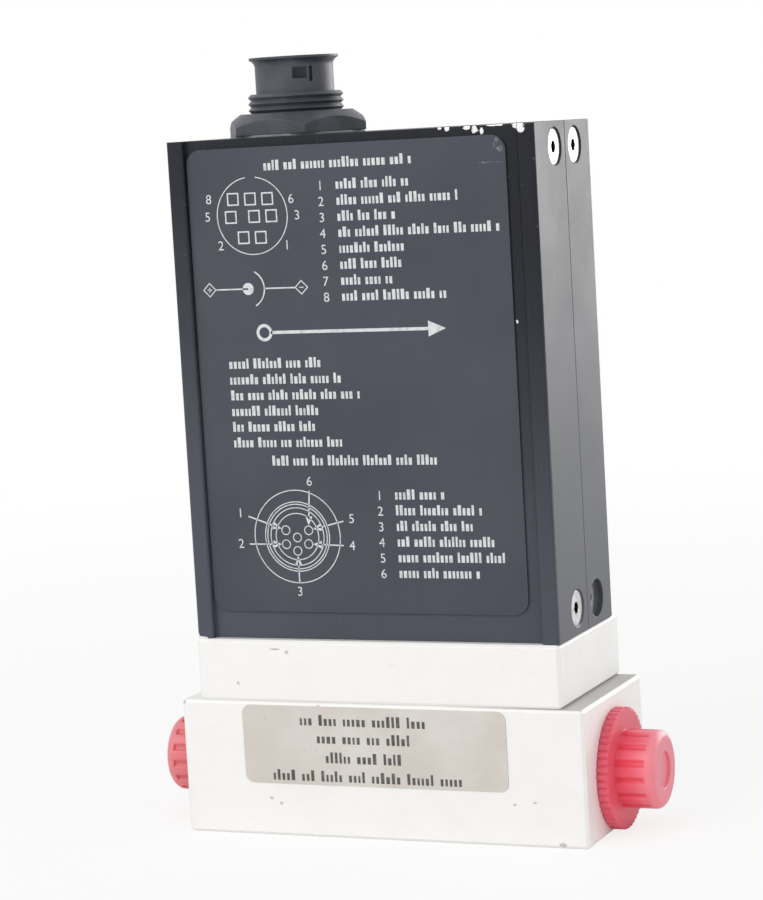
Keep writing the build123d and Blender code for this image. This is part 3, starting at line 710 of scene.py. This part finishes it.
def makePlug(look):
    finish = Finish("plugRed")
    places = finish.places()
    cloud = finish.noise(places, *look["cloud"])
    grain = finish.noise(places, *look["grain"])
    x, y, z = finish.axes(places)
    share = look["paleShares"]
    # paler towards the end of each knob and in soft clouds
    paleMask = finish.fade(x.size(), *look["knobEnd"]) * share["end"] + cloud * share["cloud"]
    colour = finish.blend(paleMask, look["red"], look["pale"])
    up = z - look["axis"]
    # painted shade: the flutes of the knob are painted darker towards their bottoms
    flute = finish.fade((y * y + up * up).root(), *look["flute"])
    flute = flute * finish.fade(x.size(), *look["fluteStart"]) * finish.fade(x.size(), *look["fluteEnd"])
    colour = finish.blend(flute * look["fluteShare"], colour, look["deep"])
    colour = finish.blend(finish.fade(x, *look["fade"]) * look["fadeShare"], colour, look["muted"])
    normal = finish.bump(grain, look["depth"], look["bevel"])
    finish.surface(colour=colour, rough=look["rough"] + grain * look["roughGrain"], normal=normal,
                   glow=look["glow"], glowScale=look["glowScale"], glowRadius=look["glowRadius"],
                   ior=look["ior"])
    return finish


dress(makePlug(plugLook), ["inlet_plug", "outlet_plug"])
print("small pieces dressed")


# how strokes and figures are drawn
penRules = {
    "sharpest": 0.35,  # keeps the corner of a stroke from running out
    "figureScale": 1.38,  # type size of a figure for its height
    "discSteps": 28,
    "ringSteps": 48,
}


class Ink:
    # gathers flat shapes drawn in millimetres on a plane that faces -Y

    def __init__(self, name, finish, slotName, surfaceY, rise):
        self.name = name
        self.finish = finish
        self.slotName = slotName
        self.back = surfaceY / perMetre
        self.front = (surfaceY - rise) / perMetre
        self.mesh = bmesh.new()

    def block(self, points):
        front = [self.mesh.verts.new((x / perMetre, self.front, z / perMetre)) for x, z in points]
        back = [self.mesh.verts.new((x / perMetre, self.back, z / perMetre)) for x, z in points]
        self.mesh.faces.new(front)
        for index in range(len(points)):
            after = (index + 1) % len(points)
            self.mesh.faces.new((front[index], front[after], back[after], back[index]))

    def disc(self, x, z, radius):
        steps = penRules["discSteps"]
        turns = [2 * math.pi * step / steps for step in range(steps)]
        self.block([(x + radius * math.cos(turn), z + radius * math.sin(turn)) for turn in turns])

    def stroke(self, points, width, closed=False):
        spots = [Vector(point) for point in points]
        count = len(spots)
        sides = []
        for index, spot in enumerate(spots):
            ways = []
            if closed or index:
                ways.append((spot - spots[index - 1]).normalized())
            if closed or index < count - 1:
                ways.append((spots[(index + 1) % count] - spot).normalized())
            way = sum(ways, Vector((0.0, 0.0))).normalized()
            across = Vector((-way.y, way.x))
            straight = across.dot(Vector((-ways[0].y, ways[0].x)))
            reach = width / 2 / max(penRules["sharpest"], straight)
            sides.append((spot - across * reach, spot + across * reach))
        last = count if closed else count - 1
        for index in range(last):
            first, second = sides[index], sides[(index + 1) % count]
            self.block([tuple(first[0]), tuple(second[0]), tuple(second[1]), tuple(first[1])])

    def ring(self, x, z, radius, width, start=0.0, end=360.0, steps=penRules["ringSteps"]):
        whole = abs(end - start) >= 360.0
        turns = [math.radians(start + (end - start) * step / steps) for step in range(steps + (not whole))]
        points = [(x + radius * math.cos(turn), z + radius * math.sin(turn)) for turn in turns]
        self.stroke(points, width, whole)

    def number(self, text, x, z, height):
        data = bpy.data.curves.new("figure", "FONT")
        data.body = text
        data.size = height * penRules["figureScale"] / perMetre
        data.align_x = "CENTER"
        data.align_y = "CENTER"
        figure = bpy.data.objects.new("figure", data)
        scene.collection.objects.link(figure)
        flat = bpy.data.meshes.new_from_object(figure)
        place = Matrix.Translation((x / perMetre, self.front, z / perMetre))
        flat.transform(place @ Matrix.Rotation(math.pi / 2, 4, "X"))
        self.mesh.from_mesh(flat)
        bpy.data.objects.remove(figure)
        bpy.data.curves.remove(data)

    def words(self, left, right, middle, style, seed):
        # a row of small blocks, grouped as words are, that says nothing
        pick = random.Random(seed)
        x = left
        low = middle - style["low"] / 2
        while x < right - style["width"]:
            span = min(right, x + pick.uniform(*style["word"]))
            while x < span - style["width"] * style["least"]:
                wide = style["width"] * pick.uniform(*style["spread"])
                tall = style["tall"] if pick.random() < style["tallShare"] else style["low"]
                self.block([(x, low), (x + wide, low), (x + wide, low + tall), (x, low + tall)])
                x += wide + style["gap"]
            x += style["space"]

    def place(self):
        bmesh.ops.recalc_face_normals(self.mesh, faces=self.mesh.faces)
        mesh = bpy.data.meshes.new(self.name)
        self.mesh.to_mesh(mesh)
        self.mesh.free()
        mesh.materials.append(self.finish.material)
        piece = bpy.data.objects.new(self.name, mesh)
        scene.collection.objects.link(piece)
        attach(piece, "root")


inkLook = {
    "patch": (1.2, 4.0, 0.65),
    "patchRange": (0.42, 0.72),
    "thinShare": 0.6,
    "grain": (8.0, 2.0, 0.5),
    "roughGrain": 0.15,
    "depth": 0.004,
}


def makeInk(name, colour, thin, rough, look):
    finish = Finish(name)
    places = finish.places()
    patch = finish.noise(places, *look["patch"])
    grain = finish.noise(places, *look["grain"])
    tone = finish.blend(finish.fade(patch, *look["patchRange"]) * look["thinShare"], colour, thin)
    normal = finish.bump(grain, look["depth"])
    finish.surface(colour=tone, rough=rough + grain * look["roughGrain"], normal=normal)
    return finish


# label print: rows of blocks, plain numbers, two connector diagrams, a polarity sign and an arrow
labelPrint = {
    "white": (0.74, 0.75, 0.76),
    "thin": (0.38, 0.39, 0.41),
    "rough": 0.5,
    "surface": -11.5,
    "rise": 0.02,
    "pen": 0.2,
    "thinPen": 0.14,
    "figure": 1.35,
    "style": {"width": 0.40, "gap": 0.22, "space": 0.55, "word": (1.6, 4.6), "low": 1.0, "tall": 1.42,
              "least": 0.6, "spread": (0.75, 1.3), "tallShare": 0.28},
    "heading": {"left": -12.9, "right": 9.3, "z": 95.0, "seed": 3},
    "topList": {"numberX": -4.45, "left": -2.1, "top": 92.0, "pitch": 2.21, "seed": 11,
                "ends": [8.9, 15.9, 6.5, 21.9, 8.1, 6.9, 5.5, 13.5]},
    "square": {"x": -15.1, "z": 88.3, "radius": 5.4, "pin": 1.6, "start": 98.0, "end": 442.0, "steps": 72,
               "pins": [(-17.93, 90.7), (-15.27, 90.65), (-12.62, 90.6), (-18.4, 88.2), (-14.8, 88.2),
                        (-12.15, 88.2), (-16.6, 85.3), (-13.95, 85.25)],
               "numbers": {"8": (-21.7, 90.75), "6": (-9.0, 90.4), "5": (-22.0, 88.3), "3": (-8.2, 88.1),
                           "2": (-20.2, 84.2), "1": (-10.0, 84.0)}},
    "polarity": {"z": 78.1, "left": -22.4, "right": -8.2, "dot": -16.4, "half": 0.95, "dotR": 0.85,
                 "cupR": 2.7, "cupShift": 0.2, "cupHalf": 62.0, "cupSteps": 24, "signHalf": 0.35},
    "arrow": {"left": -15.3, "right": 13.1, "z": 71.9, "pen": 0.45, "head": 2.6, "headHalf": 1.1,
              "ring": 1.0, "steps": 40},
    "middleRows": {"left": -20.1, "top": 67.4, "pitch": 2.235, "seed": 53,
                   "ends": [-6.0, -2.7, -0.2, -6.7, -6.3, -3.2]},
    "secondHeading": {"left": -14.3, "right": 11.2, "z": 53.6, "seed": 71},
    "round": {"x": -11.13, "z": 43.0, "rings": [6.6, 4.95, 4.6, 4.1, 3.3], "steps": 72,
              "pins": [(-12.87, 43.9), (-9.33, 43.9), (-12.9, 41.9), (-9.45, 41.95), (-11.2, 40.95),
                       (-11.14, 42.87)],
              "pinR": 0.62, "pinSteps": 20,
              "numbers": {"6": (-8.8, 50.8), "1": (-19.8, 46.3), "2": (-19.95, 41.9), "5": (-2.65, 45.5),
                          "4": (-2.75, 41.7), "3": (-11.2, 35.1)},
              "leads": {"6": 1, "1": 0, "2": 2, "5": 1, "4": 3, "3": 4},
              "leadStart": 1.3, "leadEnd": 0.7, "leadShaft": 0.9, "leadHead": 1.3, "leadHalf": 0.55},
    "bottomList": {"numberX": 1.8, "left": 4.15, "top": 48.75, "pitch": 2.2, "seed": 29,
                   "ends": [11.9, 17.3, 15.8, 18.6, 20.1, 16.1]},
}


def printRows(ink, plan):
    style = plan["style"]
    heading = plan["heading"]
    ink.words(heading["left"], heading["right"], heading["z"], style, heading["seed"])
    for name in ("topList", "bottomList", "middleRows"):
        rows = plan[name]
        for index, end in enumerate(rows["ends"]):
            z = rows["top"] - rows["pitch"] * index
            if "numberX" in rows:
                ink.number(str(index + 1), rows["numberX"], z, plan["figure"])
            ink.words(rows["left"], end, z, style, rows["seed"] + index)
    heading = plan["secondHeading"]
    ink.words(heading["left"], heading["right"], heading["z"], style, heading["seed"])


def printArrow(ink, arrow):
    # plain arrow along the flow
    z = arrow["z"]
    shoulder = arrow["right"] - arrow["head"]
    ink.ring(arrow["left"] + arrow["ring"], z, arrow["ring"], arrow["pen"], steps=arrow["steps"])
    ink.stroke([(arrow["left"] + 2 * arrow["ring"], z), (shoulder, z)], arrow["pen"])
    ink.block([(arrow["right"], z), (shoulder, z + arrow["headHalf"]), (shoulder, z - arrow["headHalf"])])


def printSquare(ink, plug, plan):
    ink.ring(plug["x"], plug["z"], plug["radius"], plan["thinPen"], plug["start"], plug["end"], plug["steps"])
    half = plug["pin"] / 2
    for x, z in plug["pins"]:
        corners = [(x - half, z - half), (x + half, z - half), (x + half, z + half), (x - half, z + half)]
        ink.stroke(corners, plan["pen"], True)
    for text, (x, z) in plug["numbers"].items():
        ink.number(text, x, z, plan["figure"])


def printPolarity(ink, sign, plan):
    pen, thin = plan["pen"], plan["thinPen"]
    z, half, short = sign["z"], sign["half"], sign["signHalf"]
    cup = sign["dot"] - sign["cupShift"]
    ink.stroke([(sign["left"] + half, z), (sign["dot"], z)], pen)
    ink.disc(sign["dot"], z, sign["dotR"])
    ink.ring(cup, z, sign["cupR"], pen, -sign["cupHalf"], sign["cupHalf"], sign["cupSteps"])
    ink.stroke([(cup + sign["cupR"], z), (sign["right"] - half, z)], pen)
    for x in (sign["left"], sign["right"]):
        ink.stroke([(x - half, z), (x, z - half), (x + half, z), (x, z + half)], thin, True)
        ink.stroke([(x - short, z), (x + short, z)], thin)
    ink.stroke([(sign["left"], z - short), (sign["left"], z + short)], thin)


def printRound(ink, plug, plan):
    thin = plan["thinPen"]
    for radius in plug["rings"]:
        ink.ring(plug["x"], plug["z"], radius, thin, steps=plug["steps"])
    for x, z in plug["pins"]:
        ink.ring(x, z, plug["pinR"], thin, steps=plug["pinSteps"])
    for text, (x, z) in plug["numbers"].items():
        ink.number(text, x, z, plan["figure"])
        number = Vector((x, z))
        target = Vector(plug["pins"][plug["leads"][text]])
        way = (target - number).normalized()
        start = number + way * plug["leadStart"]
        tip = target - way * plug["leadEnd"]
        ink.stroke([tuple(start), tuple(tip - way * plug["leadShaft"])], plan["pen"])
        side = Vector((-way.y, way.x)) * plug["leadHalf"]
        back = tip - way * plug["leadHead"]
        ink.block([tuple(tip), tuple(back + side), tuple(back - side)])


def printLabel(plan, look):
    white = makeInk("printWhite", plan["white"], plan["thin"], plan["rough"], look)
    ink = Ink("label_print", white, "label_print", plan["surface"], plan["rise"])
    printRows(ink, plan)
    printArrow(ink, plan["arrow"])
    printSquare(ink, plan["square"], plan)
    printPolarity(ink, plan["polarity"], plan)
    printRound(ink, plan["round"], plan)
    ink.place()


# plate print: four rows of dark blocks
platePrint = {
    "dark": (0.085, 0.080, 0.078),
    "thin": (0.22, 0.21, 0.20),
    "rough": 0.55,
    "surface": -12.85,
    "rise": 0.015,
    "style": {"width": 0.42, "gap": 0.30, "space": 0.8, "word": (2.0, 4.4), "low": 1.0, "tall": 1.55,
              "least": 0.6, "spread": (0.75, 1.3), "tallShare": 0.28},
    "rows": [(-11.9, 8.3, 16.7), (-9.4, 6.05, 14.15), (-8.2, 4.8, 11.35), (-16.5, 13.2, 8.65)],
    "seed": 91,
}


def printPlate(plan, look):
    dark = makeInk("printDark", plan["dark"], plan["thin"], plan["rough"], look)
    ink = Ink("plate_print", dark, "rating_foil", plan["surface"], plan["rise"])
    for index, (left, right, z) in enumerate(plan["rows"]):
        ink.words(left, right, z, plan["style"], plan["seed"] + index)
    ink.place()


printLabel(labelPrint, inkLook)
printPlate(platePrint, inkLook)
print("print placed")


# floor, background and lamps
stageLook = {
    "floor": (0.95, 0.95, 0.95),
    "floorHalf": 4.0,  # metres
    "lift": 0.80,  # how much the camera sees of plain white, near the part
    "liftRange": (120.0, 420.0),
    "ambient": 0.68,
}


def makeFloor(look):
    finish = Finish("paleFloor")
    soft = finish.node("BsdfDiffuse", None, {"Color": look["floor"]})
    white = finish.node("Emission", None, {"Color": (1.0, 1.0, 1.0), "Strength": 1.0})
    seen = finish.node("LightPath", pick="Is Camera Ray")
    away = finish.node("VectorMath", {"operation": "LENGTH"}, [finish.places()], pick="Value")
    lift = finish.lean(finish.fade(away, *look["liftRange"]), look["lift"], 1.0)
    finish.finishWith(finish.node("MixShader", None, [seen * lift, soft, white]))
    half = look["floorHalf"]
    corners = [(-half, -half, 0), (half, -half, 0), (half, half, 0), (-half, half, 0)]
    mesh = bpy.data.meshes.new("floor")
    mesh.from_pydata(corners, [], [(0, 1, 2, 3)])
    mesh.materials.append(finish.material)
    floor = bpy.data.objects.new("floor", mesh)
    scene.collection.objects.link(floor)


def makeWorld(look):
    world = bpy.data.worlds.new("studio")
    world.use_nodes = True
    scene.world = world
    finish = Finish("studio", world.node_tree)
    seen = finish.node("LightPath", pick="Is Camera Ray")
    shiny = finish.node("LightPath", pick="Is Glossy Ray")
    through = finish.node("LightPath", pick="Is Transmission Ray")
    mask = seen.highest(shiny).highest(through)
    strength = finish.lean(mask, look["ambient"], 1.0)
    light = finish.node("Background", None, {"Color": (1.0, 1.0, 1.0), "Strength": strength})
    finish.node("OutputWorld", None, {"Surface": light})


lampSetups = {  # places, aims and sizes in metres, power in watts
    "key": {"place": (-0.35, -0.75, 0.65), "aim": (0.0, 0.0, 0.05), "size": 0.55, "power": 3.1,
            "diffuse": True},
    "fill": {"place": (0.75, -0.35, 0.35), "aim": (0.0, 0.0, 0.05), "size": 0.5, "power": 0.35,
             "diffuse": True},
    "back": {"place": (0.30, 0.62, 0.22), "aim": (0.0, 0.0, 0.06), "size": 0.5, "power": 3.0,
             "diffuse": False},  # only seen as a reflection on the right side
}


def makeLamps(setups):
    for name, setup in setups.items():
        data = bpy.data.lights.new(name, "AREA")
        data.shape = "SQUARE"
        data.size = setup["size"]
        data.energy = setup["power"]
        lamp = bpy.data.objects.new(name, data)
        lamp.location = setup["place"]
        away = Vector(setup["place"]) - Vector(setup["aim"])
        lamp.rotation_euler = away.to_track_quat("Z", "Y").to_euler()
        lamp.visible_camera = False
        lamp.visible_diffuse = setup["diffuse"]
        scene.collection.objects.link(lamp)


makeFloor(stageLook)
makeWorld(stageLook)
makeLamps(lampSetups)
scene.view_settings.view_transform = "Standard"
print("stage ready")
